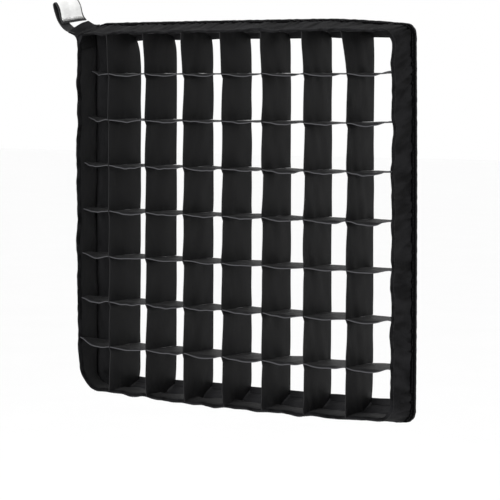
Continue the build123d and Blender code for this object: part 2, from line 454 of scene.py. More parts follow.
def cloth_piece(name, outer, inner, uv, material, keep=None, sharp=55.0, lining=None):
    """Closed sheet between two matching grids of points, without the cells that keep leaves out."""
    rows, columns = outer.shape[:2]
    if keep is None:
        keep = np.ones((rows - 1, columns - 1), bool)
    quads, places = sheet_faces((rows, columns), keep)
    points = np.concatenate([outer.reshape(-1, 3), inner.reshape(-1, 3)])
    used, quads = np.unique(quads, return_inverse=True)
    quads = quads.reshape(-1, 4)
    materials = [material, lining] if lining else [material]
    faces = int(keep.sum())
    slots = np.zeros(len(quads), int)
    slots[faces:2 * faces] = len(materials) - 1
    return new_piece(name, points[used], quads, uv[places[..., 0], places[..., 1]], materials, sharp, slots)


def thicken(grid, thickness):
    """Two grids, half a thickness to each side of a mid surface."""
    normal = np.cross(np.gradient(grid, axis=0), np.gradient(grid, axis=1))
    normal /= np.linalg.norm(normal, axis=2, keepdims=True) + 1e-12
    return grid + normal * thickness / 2, grid - normal * thickness / 2


def grid_uv(grid):
    """Metres along both directions of a grid of points, measured on its middle lines."""
    rows, columns = grid.shape[:2]
    along, across = steps_along(grid[:, columns // 2]), steps_along(grid[rows // 2])
    return np.stack(np.meshgrid(along, across, indexing="ij"), 2)


# ---- rims: rounded outlines in X and Z, matched point by point from front to rear ----
SIDE_STEPS = 200
CORNER_STEPS = 22


def rim(corners, bows, radii):
    """Closed outline through four corners (clockwise from the upper left), with bowed sides."""
    corners = np.array(corners, float)
    points = []
    for k in range(4):
        start, end, after = corners[k], corners[(k + 1) % 4], corners[(k + 2) % 4]
        length = np.linalg.norm(end - start)
        along = (end - start) / length
        onward = (after - end) / np.linalg.norm(after - end)
        outward = np.array((-along[1], along[0]))
        first, last = radii[k], radii[(k + 1) % 4]
        run = np.linspace(first, length - last, SIDE_STEPS)
        bulge = bows[k] * (1 - (2 * (run - first) / (length - first - last) - 1) ** 2)
        points.append(start + run[:, None] * along + bulge[:, None] * outward)
        turn = np.linspace(0, 1, CORNER_STEPS + 2)[1:-1, None]
        weight = 2 * turn * (1 - turn) * math.cos(math.pi / 4)
        a, b = (1 - turn) ** 2, turn ** 2
        arc = a * (end - along * last) + weight * end + b * (end + onward * last)
        points.append(arc / (a + weight + b))
    made = np.concatenate(points)
    for _ in range(6):
        made = (np.roll(made, 1, 0) + 2 * made + np.roll(made, -1, 0)) / 4
    return made


def outward_of(outline):
    tangent = np.roll(outline, -1, 0) - np.roll(outline, 1, 0)
    normal = np.stack([-tangent[:, 1], tangent[:, 0]], 1)
    return normal / np.linalg.norm(normal, axis=1, keepdims=True)


def front_rim():
    half_x = (FRONT_HIGH.x - FRONT_LOW.x) / 2
    half_z = (FRONT_HIGH.z - FRONT_LOW.z) / 2
    right, low = 5.2 * MM, 5.2 * MM         # the soft front rim hangs a little right and low
    left_x, right_x = right - half_x + 2.4 * MM, right + half_x + 0.6 * MM
    top_z, bottom_z = half_z - low - 1.0 * MM, -half_z - low + 5.2 * MM
    corners = [(left_x, top_z), (right_x, top_z - 0.5 * MM),
               (right_x + 0.5 * MM, bottom_z - 3.2 * MM),
               (left_x - 1.6 * MM, bottom_z)]
    bows = [1.4 * MM, 1.6 * MM, 3.6 * MM, 1.6 * MM]
    radii = [9 * MM, 20 * MM, 24 * MM, 38 * MM]
    return rim(corners, bows, radii)


def rear_rim():
    half_x = (TAPE_HIGH.x - TAPE_LOW.x) / 2
    half_z = (TAPE_HIGH.z - TAPE_LOW.z) / 2
    low = 1.3 * MM
    top_z, bottom_z = half_z - low, -half_z - low
    corners = [(-half_x + 1.5 * MM, top_z - 0.9 * MM), (half_x - 1.6 * MM, top_z - 0.9 * MM),
               (half_x + 0.2 * MM, bottom_z + 1.5 * MM), (-half_x + 1.0 * MM, bottom_z + 3.0 * MM)]
    bows = [0.6 * MM, 1.2 * MM, 2.0 * MM, 1.5 * MM]
    radii = [10 * MM, 12 * MM, 14 * MM, 22 * MM]
    made = rim(corners, bows, radii)
    fall = 8 * MM * np.clip((made[:, 0] - 118 * MM) / (130 * MM), 0, 1) ** 1.5
    fall *= np.clip(made[:, 1] / (230 * MM), 0, 1)
    made[:, 1] -= fall
    return made, fall * ease(made[:, 1], 200 * MM, 232 * MM)


FRONT_RIM = front_rim()
REAR_RIM, REAR_RIM_FALL = rear_rim()
RUN = steps_along(FRONT_RIM)
RIM_POINTS = len(FRONT_RIM)


def outline_at(y):
    share = (y - FRONT_Y) / DEPTH
    return FRONT_RIM * (1 - share) + REAR_RIM * share


def ring_grid(profile, wave=None, slide=None):
    """Points round the rims for a list of (y, inset).

    wave and slide, of the run round the rim, y and inset, shift them outwards and along Y.
    """
    rows = []
    for y, inset in profile:
        outline = outline_at(y)
        out = outward_of(outline)
        shift = -inset
        if wave is not None:
            shift = shift + wave(RUN, y, inset)
        flat = outline + out * np.reshape(shift, (-1, 1))
        depth = y + (0 * RUN if slide is None else slide(RUN, y, inset))
        rows.append(np.stack([flat[:, 0], depth, flat[:, 1]], 1))
    return np.stack(rows, 1)


def curve_point(p, t):
    """Catmull-Rom point between the second and the third of four points."""
    return 0.5 * (2 * p[1] + (p[2] - p[0]) * t + (2 * p[0] - 5 * p[1] + 4 * p[2] - p[3]) * t ** 2
                  + (3 * p[1] - p[0] - 3 * p[2] + p[3]) * t ** 3)


def smooth_profile(corners, step):
    """Evenly spaced (y, inset) points on a closed smooth line through the corners."""
    corners = np.array(corners, float)
    count = len(corners)
    points = []
    for k in range(count):
        p = [corners[(k + n) % count] for n in (-1, 0, 1, 2)]
        steps = max(1, round(float(np.linalg.norm(p[2] - p[1])) / step))
        points += [tuple(curve_point(p, t)) for t in np.arange(steps) / steps]
    return points


def from_depth(y, places):
    """(y, inset) points from pairs in millimetres: behind this depth, and inside the outline."""
    return [(y + behind * MM, inset * MM) for behind, inset in places]


def tube_piece(name, profile, material, wave=None, sharp=55.0, slide=None):
    """Closed ring with a closed section, such as a hem, tape or hoop."""
    grid = ring_grid(profile, wave, slide)
    columns = grid.shape[1]
    ids = np.arange(RIM_POINTS * columns).reshape(RIM_POINTS, columns)
    onward, aside = np.roll(ids, -1, 0), np.roll(ids, -1, 1)
    both = np.roll(onward, -1, 1)
    quads = np.stack([ids, onward, both, aside], 2).reshape(-1, 4)
    along = np.append(RUN, RUN[-1] + np.linalg.norm(FRONT_RIM[0] - FRONT_RIM[-1]))
    across = steps_along(np.array(profile + profile[:1]))
    i, j = np.meshgrid(np.arange(RIM_POINTS), np.arange(columns), indexing="ij")
    uv = np.stack([np.stack([along[i + di], across[j + dj]], 2)
                   for di, dj in ((0, 0), (1, 0), (1, 1), (0, 1))], 2).reshape(-1, 4, 2)
    return new_piece(name, grid.reshape(-1, 3), quads, uv, [material], sharp)


# ---- shapes shared by several pieces ----
EDGE_WAVE = Ripple(11, 46 * MM, 6)
SLOW_WAVE = Ripple(12, 120 * MM, 5)
SMALL_WAVE = Ripple(13, 13 * MM, 6, 0.3)


def front_wave(run, y):
    """How far the soft wall waves outwards, strongest at its front edge."""
    near_front = ease(y, REAR_Y - 12 * MM, FRONT_Y) if np.isscalar(y) else ease(-y, 12 * MM, DEPTH)
    return near_front * (0.75 * MM * EDGE_WAVE(run, 0 * run) + 0.7 * MM * SLOW_WAVE(run, y * 0.6 + 0 * run))


GATHER = Ripple(14, 19 * MM, 7, 0.35, stretch=(1.0, 9.0))
FINE_GATHER = Ripple(15, 8 * MM, 6, 0.3, stretch=(1.0, 4.0))


def pucker(run, y, sizes):
    """Uneven gathers that start at the tape's seam and die away towards the front."""
    towards = np.clip((y - HEM_BACK_Y) / (TAPE_FRONT_Y - HEM_BACK_Y), 0, 1)
    slant = run + (y - TAPE_FRONT_Y) * 0.15
    hills = np.minimum(np.abs(GATHER(slant, y + 0 * run)) * 2.2, 1.3) - 0.9
    return sizes.pucker * ((0.35 + 0.65 * towards) * hills
                           + 0.38 * towards ** 3 * FINE_GATHER(slant, y + 0 * run))


def lining_inset(y):
    """How far inside the outline the wall's inner face stands, at rest and without folds."""
    places = np.array([-60.3, -58, -51, -45, -36, -28, -23, -20.6, -19.2, -12, 0]) * MM
    insets = np.array([2.2, 2.9, 5.4, 6.6, 8.0, 8.6, 7.8, 6.6, 3.2, 2.4, 2.2]) * MM
    return np.interp(y, places, insets)


TOP_SLACK = 0.72


def top_share():
    """1 along the top wall, where the lining lies close to the outer cloth, and 0 along the others."""
    outline = outline_at(REAR_Y)
    return ease(outline[:, 1], 215 * MM, 236 * MM)


FOLD_WAVE = Ripple(21, 55 * MM, 6)
FOLD_SIDE = Ripple(22, 30 * MM, 5)


def lining_fold(run, y):
    """Soft folds of the inner face, which run the length of each wall."""
    middle_part = bell(y, CREST_Y + 2 * MM, 11 * MM)
    return middle_part * (1.1 * MM * FOLD_WAVE(run, 0 * run) + 0.5 * MM * FOLD_SIDE(run, y * 2))


def flange_shift():
    """How far outwards the rear flange stands from its even inset, round the outline."""
    low_left = ease(-REAR_RIM[:, 1], 215 * MM, 236 * MM) * ease(-REAR_RIM[:, 0], 60 * MM, 150 * MM)
    return REAR_RIM_FALL + 3.4 * MM * top_share() + 2.6 * MM * low_left


def strip_reach(y, axis, at, side):
    """How far inside the outline a strip ends: on the lining, then along the rear hem's tube."""
    on_wall = lining_inset(y) - 0.6 * MM
    places = np.array([-20.5, -18.5, -14.5, -10, -6, -2.9, -0.4]) * MM
    insets = np.array([4.0, 9.2, 13.4, 17.0, 19.6, 21.0, 27.4]) * MM
    if y <= places[0]:
        return on_wall
    cut = np.interp(y, places, insets)
    nearest = np.argmin(np.abs(REAR_RIM[:, 1 - axis] - at) + (REAR_RIM[:, axis] * side < 0))
    return max(cut - flange_shift()[nearest] * ease(cut, 6 * MM, 20 * MM), on_wall)


# ---- operators: one for each group of pieces ----
def settle(piece, node, body):
    """Puts a finished piece in its CAD node's place and on its body."""
    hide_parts(node)
    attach(piece, body)


def settings():
    scene = bpy.context.scene
    return scene.grid_sizes, scene.grid_colours


def finish_for(key, maker, *values, **options):
    """One shared material for each finish."""
    name = key + "_finish"
    return bpy.data.materials.get(name) or maker(name, *values, **options)


SATIN = {"rough": (0.54, 0.68), "gloss": 0.15}    # strips and rims shine a little more than the walls


def strip_cloth():
    return finish_for("strip_cloth", cloth_finish, settings()[1].cloth, **SATIN)


# level strips' cloth, with a painted highlight along each front lip
def bound_cloth():
    return finish_for("bound_cloth", cloth_finish, settings()[1].cloth, lip=1.5 * MM, **SATIN)


# rear hem's cloth, 2.1 times lighter than the strips: painted light on the hem and its flange
def rim_cloth():
    return finish_for("rim_cloth", cloth_finish, shade(settings()[1].cloth, 2.1), **SATIN)


# walls' cloth: 1.25 times lighter than the strips, with little gloss and sheen, so reflected light is
# painted into its colour, plus painted fold shade
def wall_cloth():
    return finish_for("wall_cloth", cloth_finish, shade(settings()[1].cloth, 1.25), thread=0.4 * MM,
                      gloss=0.03, sheen=0.004, folds=0.55)


class SOFTGRID_OT_front_hem(bpy.types.Operator):
    """Cloth hem around the front rim, with the flat spring hoop that holds it open"""

    bl_idname = "softgrid.front_hem"
    bl_label = "Front Hem"

    def execute(self, context):
        inner_front = lining_inset(FRONT_Y + 2 * MM)
        inner_back = lining_inset(SEAM_Y)
        profile = smooth_profile([
            (SEAM_Y, 0.1 * MM), (SEAM_Y - 3 * MM, -0.2 * MM), (FRONT_Y + 2.5 * MM, -0.1 * MM),
            (FRONT_Y + 0.5 * MM, 0.5 * MM), (FRONT_Y, 1.3 * MM), (FRONT_Y + 0.7 * MM, 2.3 * MM),
            (FRONT_Y + 2.5 * MM, inner_front + 0.4 * MM), (SEAM_Y - 4 * MM, inner_back - 0.9 * MM),
            (SEAM_Y - 0.3 * MM, inner_back), (SEAM_Y, inner_back * 0.5)], 0.9 * MM)

        def wave(run, y, inset):
            inner_side = max(0, inset - 2.4 * MM)
            return front_wave(run, y) + 0.25 * MM * SMALL_WAVE(run, y * 3) \
                + inner_side * TOP_SLACK * top_share()

        hem = tube_piece("front_hem_cloth", profile, wall_cloth(), wave)
        settle(hem, "front_hem", "front_frame")
        return {"FINISHED"}


class SOFTGRID_OT_walls(bpy.types.Operator):
    """Four cloth walls between the hems, each turning one corner, with folds inside and gathers outside"""

    bl_idname = "softgrid.walls"
    bl_label = "Cloth Walls"

    def execute(self, context):
        sizes, _ = settings()
        side = SIDE_STEPS + CORNER_STEPS
        near = 8                                  # outline points from a corner's arc to the seam
        front, back = SEAM_Y - 0.8 * MM, TAPE_FRONT_Y + 1.0 * MM
        ys = np.linspace(front, back, 34)
        outer = ring_grid([(y, 0.35 * MM) for y in ys],
                          lambda run, y, inset: front_wave(run, y) + pucker(run, y, sizes))
        close = 1 - TOP_SLACK * top_share()
        inner = ring_grid([(y, 1.4 * MM) for y in ys],
                          lambda run, y, inset: front_wave(run, y) * 0.5
                          - (lining_inset(y) - 1.6 * MM + lining_fold(run, y)) * close)
        for turn, name in ((1, "right"), (2, "bottom"), (3, "left"), (0, "top")):
            first = turn * side - near - CORNER_STEPS
            picked = np.arange(first, first + side + 2) % RIM_POINTS
            a, b = outer[picked].copy(), inner[picked]
            lap = np.clip(1 - np.arange(len(picked)) / 3.0, 0, 1)[:, None, None]
            out = outward_of(FRONT_RIM)[picked]
            a += lap * 0.5 * MM * np.stack([out[:, 0], 0 * out[:, 0], out[:, 1]], 1)[:, None, :]
            uv = grid_uv(a)
            wall = cloth_piece(f"wall_cloth_{name}", a, b, uv, wall_cloth(), lining=strip_cloth())
            settle(wall, f"band_panel_{name}", "rear_frame")
            squash_band(wall)
        return {"FINISHED"}


class SOFTGRID_OT_rear_hem(bpy.types.Operator):
    """Soft tube around the rear hoop, with its flat flange turned inwards"""

    bl_idname = "softgrid.rear_hem"
    bl_label = "Rear Hem"

    def execute(self, context):
        flange = 26.8 * MM                      # inset of the flange's free edge
        profile = smooth_profile(from_depth(REAR_Y, [
            (-11.5, 1.3), (-6, 1.2), (-0.6, 1.2), (0, 2.2), (0, 9), (0, 18), (-0.1, 25.8), (-0.8, 26.8),
            (-1.5, 26), (-2, 20.8), (-3.2, 18.2), (-6, 17.6), (-10, 15.2), (-14.5, 11.6), (-18, 7.6),
            (-18.6, 4.6), (-15.5, 2.6)]), 1.3 * MM)
        swell = Ripple(31, 38 * MM, 6)
        straight = flange_shift()

        def wave(run, y, inset):
            soft = bell(inset, 12 * MM, 6 * MM) * 0.8 * MM * swell(run, y * 2)
            edge = bell(inset, flange, 4 * MM) * 0.35 * MM * EDGE_WAVE(run * 0.8, 0 * run)
            return soft + edge + straight * ease(inset, 6 * MM, 20 * MM)

        hem = tube_piece("rear_hem_cloth", profile, rim_cloth(), wave)
        settle(hem, "rear_hem", "rear_frame")
        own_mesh(hem)
        return {"FINISHED"}


class SOFTGRID_OT_tapes(bpy.types.Operator):
    """Hook tape around the rear rim, with a narrow woven binding behind it"""

    bl_idname = "softgrid.tapes"
    bl_label = "Hook Tape and Binding"

    def execute(self, context):
        sizes, colours = settings()
        hooks = finish_for("hook_tape", hook_finish, colours.tape)
        woven = finish_for("edge_binding", cloth_finish, colours.binding, thread=0.5 * MM)
        front, back = TAPE_FRONT_Y - 1.8 * MM, TAPE_BACK_Y - 0.2 * MM
        profile = smooth_profile(
            from_depth(front, [(0, 0), (0.6, -0.55), (3, -0.6)])
            + from_depth(back, [(-3, -0.6), (-0.4, -0.45), (0, 0.2), (-0.5, 1.1)])
            + from_depth(front, [(4, 1.1), (1, 0.9)]), 0.8 * MM)

        def follow(run, y, inset):
            gathers = 0.55 * pucker(run, min(y, TAPE_FRONT_Y), sizes) * (1 - ease(y, front, back))
            return gathers + 0.15 * MM * SMALL_WAVE(run, y * 2)

        def scallop(run, y, inset):
            arches = np.abs(np.sin(math.pi * run / (12.5 * MM) + SLOW_WAVE(run, 0 * run)))
            uneven = np.abs(FINE_GATHER(run, 0 * run))
            return (1 - ease(y, front, front + 4 * MM)) * (0.55 * MM * arches + 0.35 * MM * uneven)

        tape = tube_piece("hook_tape_ring", profile, hooks, follow, slide=scallop)
        settle(tape, "grip_tape", "rear_frame")
        edge = smooth_profile(
            from_depth(back, [(0.1, -0.35), (0.9, -0.75)])
            + from_depth(REAR_Y, [(-0.6, -0.7), (0.3, -0.1), (0.45, 1.6), (0.3, 3.2), (-0.2, 3),
                                  (-0.8, 1.4)])
            + from_depth(back, [(0.6, 0.9)]), 0.6 * MM)
        binding = tube_piece("edge_binding_ring", edge, woven,
                             lambda run, y, inset: 0.18 * MM * SMALL_WAVE(run * 1.3, y * 3))
        settle(binding, "edge_binding", "rear_frame")
        return {"FINISHED"}


SLEEVE_POINTS = 19                          # outline points along a sleeve


class SOFTGRID_OT_hoops(bpy.types.Operator):
    """Flat spring hoops inside the two hems, each with the sleeve that joins its ends"""

    bl_idname = "softgrid.hoops"
    bl_label = "Spring Hoops"

    def execute(self, context):
        _, colours = settings()
        steel = finish_for("spring_steel", steel_finish, colours.steel)
        plated = finish_for("plated_sleeve", steel_finish, shade(colours.steel, 1.3))
        places = {"front": (FRONT_Y + 1.6 * MM, FRONT_Y + 5.4 * MM, 1.4 * MM, "front_frame"),
                  "rear": (REAR_Y - 8.5 * MM, REAR_Y - 3.5 * MM, 4.5 * MM, "rear_frame")}

        def with_front(run, y, inset):
            return front_wave(run, FRONT_Y)

        for end, (low, high, inset, body) in places.items():
            thick, round_off = 0.8 * MM, 0.2 * MM
            section = [(low, inset + round_off), (low + round_off, inset), (high - round_off, inset),
                       (high, inset + round_off), (high, inset + thick - round_off),
                       (high - round_off, inset + thick), (low + round_off, inset + thick),
                       (low, inset + thick - round_off)]
            hoop = tube_piece(f"{end}_hoop_steel", section, steel, with_front if end == "front" else None,
                              sharp=30)
            settle(hoop, f"{end}_spring_hoop", body)
            self.sleeve(end, (low + high) / 2, inset + thick / 2, body, plated)
        return {"FINISHED"}

    def sleeve(self, end, y, inset, body, material):
        """Pressed tube 40 mm long over the hoop's joint, at the middle of the lower side."""
        outline = outline_at(y)
        out = outward_of(outline)
        centre = int(np.argmin(np.abs(outline[:, 0]) + (outline[:, 1] > 0)))
        along = np.arange(SLEEVE_POINTS)
        picked = centre - SLEEVE_POINTS // 2 + along
        path = outline[picked] - out[picked] * inset
        if end == "front":
            path = path + out[picked] * front_wave(RUN, FRONT_Y)[picked][:, None]
        angle = np.linspace(0, 2 * math.pi, 24, endpoint=False)
        wide, high = (2.4 if end == "front" else 3.1) * MM, 0.95 * MM
        turn = np.stack([np.cos(angle), np.sin(angle)])
        across, up = np.sign(turn) * np.abs(turn) ** 0.45
        crimp = 1 - 0.22 * (bell(along, 4, 1.1) + bell(along, 14, 1.1))
        rows = []
        for (x, z), (out_x, out_z), press in zip(path, out[picked], crimp):
            lift = high * press * up
            rows.append(np.stack([x + out_x * lift, y + wide * across, z + out_z * lift], 1))
        ring = np.stack(rows)
        middle_line = ring.mean(1, keepdims=True)
        inside = middle_line + (ring - middle_line) * 0.86
        outer = np.concatenate([ring, ring[:, :1]], 1)
        inner = np.concatenate([inside, inside[:, :1]], 1)
        sleeve = cloth_piece(f"{end}_hoop_sleeve", outer, inner, grid_uv(outer), material, sharp=40)
        work = bmesh.new()
        work.from_mesh(sleeve.data)
        bmesh.ops.remove_doubles(work, verts=work.verts, dist=0.01 * MM)
        bmesh.ops.recalc_face_normals(work, faces=work.faces)
        work.to_mesh(sleeve.data)
        work.free()
        settle(sleeve, f"{end}_hoop_ferrule", body)


SLOT_ROOM = 0.5 * MM                        # a slot's width beyond the cloth that passes it
STRIP_STEP = 2.8 * MM


def band_of_lines(lines, half_length, step, slot):
    """Grid stations along a strip, with a narrow cell at each crossing for its slot."""
    edges = [-half_length]
    for line in lines:
        edges += [line - slot / 2, line + slot / 2]
    edges.append(half_length)
    stations = [edges[0]]
    for low, high in zip(edges[:-1], edges[1:]):
        steps = max(1, round((high - low) / step)) if high - low > 2 * slot else 1
        stations += list(np.linspace(low, high, steps + 1)[1:])
    return np.array(stations)


def fit_ends(stations, knee, low, high):
    """Stretches the outer part of a row of stations so that it ends at low and high."""
    top = stations.max()
    made = stations.copy()
    upper, lower = stations > knee, stations < -knee
    made[upper] = knee + (stations[upper] - knee) * (high - knee) / (top - knee)
    made[lower] = -knee + (stations[lower] + knee) * (low + knee) / (-top + knee)
    return made


def wall_place(axis, at, y, side):
    """X or Z of the outline's side at one place along it and one depth, before any inset."""
    outline = outline_at(y)
    other = 1 - axis
    chosen = outline[outline[:, axis] * side > 0]
    order = np.argsort(chosen[:, other])
    return np.interp(at, chosen[order, other], chosen[order, axis])


def saw(place, lines, rise=0.1):
    """0 to 1 within each cell: a quick rise under the upper line, then a slow fall to the lower one."""
    pitch = lines[1] - lines[0]
    share = np.mod((lines[-1] - place) / pitch, 1.0)
    return np.where(share < rise, share / rise, (1 - share) / (1 - rise))


# lean of each upright's top end towards the left, at its front and at its rear edge
TOP_LEAN_FRONT = np.array([3.0, 4.0, 4.0, 3.5, 4.0, 5.0, 8.5]) * MM
TOP_LEAN_REAR = np.array([5.0, 2.0, 1.5, 1.5, 1.0, 1.0, 0.0]) * MM
# steady shift of each upright to the right, at its front and at its rear edge
FRONT_SHIFT = np.array([0.0, -0.6, -1.4, -1.6, -1.5, -0.3, 0.9]) * MM
REAR_SHIFT = np.array([5.2, 3.5, 1.6, 0.8, 0.0, 0.3, 0.6]) * MM
# how far each level strip's front edge draws back at the left wall, from the lowest strip up
LEFT_DRAW = np.array([2.0, 6.0, 8.0, 10.0, 12.0, 20.0, 27.0]) * MM
LEFT_LIFT = np.array([10.0, 5.0, 3.0, 3.0, 3.0, 4.0, 4.0]) * MM


class StripShape:
    """Where the strips' cloth lies: sideways shift of an upright and height of a level strip."""

    def __init__(self, sizes):
        draw = np.random.default_rng(5)
        self.sizes = sizes
        self.step = draw.uniform(0.45, 1.25, (COUNT, COUNT + 1)) * sizes.step
        self.billow = draw.uniform(-1.0, 1.0, (COUNT, COUNT + 1)) * 1.1 * MM
        self.sink = draw.uniform(0.55, 1.3, (COUNT, COUNT + 1)) * sizes.droop
        self.tilt = draw.uniform(-1.0, 1.0, (COUNT, COUNT + 1)) * 1.0 * MM
        self.peak = draw.uniform(0.38, 0.62, (COUNT, COUNT + 1))

    def upright(self, number, z, y):
        """Sideways shift of upright strip number at height z and depth y."""
        front = np.clip((REAR_Y - y) / DEPTH, 0, 1)
        cell = np.clip(np.floor((z - LEVEL_LINES[0]) / PITCH_Z).astype(int) + 1, 0, COUNT)
        share = np.mod((z - LEVEL_LINES[0]) / PITCH_Z, 1.0)
        arch = np.sin(math.pi * share)
        inner = (cell > 0) & (cell < COUNT)
        step = np.where(cell < COUNT, self.step[number][cell], 0)
        shift = step * saw(z, LEVEL_LINES) * front ** 1.5
        shift = shift + self.billow[number][cell] * arch * (0.35 + 0.65 * front) * np.where(inner, 1, 0.5)
        top = ease(z, LEVEL_LINES[-1], LEVEL_LINES[-1] + 1.15 * PITCH_Z)
        lean = TOP_LEAN_FRONT[number] * front + TOP_LEAN_REAR[number] * (1 - front)
        creases = Ripple(100 + number, 26 * MM, 6, stretch=(1.0, 2.2))
        small = Ripple(130 + number, 9 * MM, 5, stretch=(1.0, 1.8))
        near_line = np.exp(-(np.minimum(share, 1 - share) * PITCH_Z / (9 * MM)) ** 2)
        ends = ease(np.abs(z), 205 * MM, 232 * MM)
        steady = FRONT_SHIFT[number] * front + REAR_SHIFT[number] * (1 + 1.6 * z) * (1 - front)
        shift = shift - lean * top + steady * ease(-np.abs(z), -240 * MM, -205 * MM)
        shift = shift + 0.35 * MM * creases(y, z) * (0.5 + 0.9 * near_line + 1.6 * ends)
        return shift + 0.13 * MM * small(y, z) * (near_line + 1.5 * ends)

    def level(self, number, x, y):
        """Height shift of level strip number at place x and depth y."""
        front = np.clip((REAR_Y - y) / DEPTH, 0, 1)
        cell = np.clip(np.floor((x - UPRIGHT_LINES[0]) / PITCH_X).astype(int) + 1, 0, COUNT)
        share = np.mod((x - UPRIGHT_LINES[0]) / PITCH_X, 1.0)
        peak = self.peak[number][cell]
        warped = np.where(share < peak, share / peak * 0.5, 0.5 + (share - peak) / (1 - peak) * 0.5)
        arch = np.sin(math.pi * warped) ** 1.3
        lip = ease(front, 0.86, 1.03)
        drop = self.sink[number][cell] * arch * (0.15 * front + 0.85 * lip ** 1.3)
        rear = self.tilt[number][cell] * arch * (1 - front)
        creases = Ripple(160 + number, 24 * MM, 6, stretch=(1.0, 1.6))
        return 0.3 * MM * creases(x, y) * (0.4 + front) - drop + rear


def strip_ends(axis, at, y):
    """Where a strip at this place ends at one depth: its lower or left end, then the other."""
    return [wall_place(axis, at, y, side) - side * strip_reach(y, axis, at, side) for side in (-1, 1)]


def slotted(stations, crossings, columns):
    """Which faces of a strip's grid are kept: all but those columns of the cells at its crossings."""
    keep = np.ones((len(stations) - 1, len(columns)), bool)
    for crossing in crossings:
        keep[int(np.searchsorted(stations, crossing)) - 1, columns] = False
    return keep


def strip_piece(kind, number, grid, keep, sizes, finish):
    """One cloth strip from its grid of points, with its slots and body."""
    outer, inner = thicken(grid, sizes.cloth)
    strip = cloth_piece(f"{kind}_cloth_{number + 1}", outer, inner, grid_uv(grid), finish, keep)
    settle(strip, f"{kind}_strip_{number + 1}", "rear_frame")
    1 - FLATTEN_TRAVEL / DEPTH
    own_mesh(strip)


class SOFTGRID_OT_uprights(bpy.types.Operator):
    """Seven upright cloth strips, slotted from the rear to pass the level strips"""

    bl_idname = "softgrid.uprights"
    bl_label = "Upright Strips"

    def execute(self, context):
        sizes, _ = settings()
        shape = StripShape(sizes)
        slot = sizes.cloth + SLOT_ROOM
        depths = np.concatenate([np.linspace(FRONT_Y - 0.5 * MM, -DEPTH / 2, 15),
                                 np.linspace(-DEPTH / 2, REAR_Y - 0.4 * MM, 14)[1:]])
        for number, line in enumerate(UPRIGHT_LINES):
            stations = band_of_lines(LEVEL_LINES, 246 * MM, STRIP_STEP, slot)
            columns = []
            for y in depths:
                z = fit_ends(stations, 206 * MM, *strip_ends(1, line, y))
                columns.append(np.stack([line + shape.upright(number, z, y), np.full_like(z, y), z], 1))
            keep = slotted(stations, LEVEL_LINES, depths[:-1] > -DEPTH / 2 - 0.1 * MM)
            strip_piece("upright", number, np.stack(columns, 1), keep, sizes, strip_cloth())
        return {"FINISHED"}


class SOFTGRID_OT_levels(bpy.types.Operator):
    """Seven level cloth strips, slotted from the front to pass the uprights"""

    bl_idname = "softgrid.levels"
    bl_label = "Level Strips"

    def execute(self, context):
        sizes, _ = settings()
        shape = StripShape(sizes)
        slot = sizes.cloth + SLOT_ROOM
        shares = np.concatenate([np.linspace(0, 0.5, 19), np.linspace(0.5, 1, 12)[1:]])
        for number, line in enumerate(LEVEL_LINES):
            stations = band_of_lines(UPRIGHT_LINES, 250 * MM, STRIP_STEP, slot)
            shift = np.array([shape.upright(n, np.array(line), FRONT_Y + 10 * MM) for n in range(COUNT)])
            stations = stations + np.interp(stations, UPRIGHT_LINES, shift)
            columns = []
            for share in shares:
                nominal = FRONT_Y - 0.3 * MM + share * (DEPTH - 0.2 * MM)
                left, right = strip_ends(0, line, nominal)
                x = fit_ends(stations, 212 * MM, left, right)
                draw = LEFT_DRAW[number] * ease(-x, -UPRIGHT_LINES[0] + 2 * MM, -left) * (1 - share) ** 1.2
                lift = LEFT_LIFT[number] * ease(-x, 208 * MM, -left) * (1 - share)
                lift_right = 2.5 * MM * ease(x, 222 * MM, right) * (1 - share)
                z = line + shape.level(number, x, nominal) + lift + lift_right
                columns.append(np.stack([x, nominal + draw, z], 1))
            keep = slotted(stations, UPRIGHT_LINES + shift, shares[:-1] < 0.5 - 0.001)
            strip_piece("level", number, np.stack(columns, 1), keep, sizes, bound_cloth())
        return {"FINISHED"}


def spline(points, count):
    """Evenly spaced points on a smooth open line through the given ones."""
    points = np.array(points, float)
    padded = np.concatenate([2 * points[:1] - points[1:2], points, 2 * points[-1:] - points[-2:-1]])
    fine = []
    for k in range(len(points) - 1):
        p = padded[k:k + 4]
        t = np.linspace(0, 1, 24, endpoint=False)[:, None]
        fine.append(curve_point(p, t))
    fine = np.concatenate(fine + [points[-1:]])
    run = steps_along(fine)
    at = np.linspace(0, run[-1], count)
    return np.stack([np.interp(at, run, fine[:, axis]) for axis in range(points.shape[1])], 1)


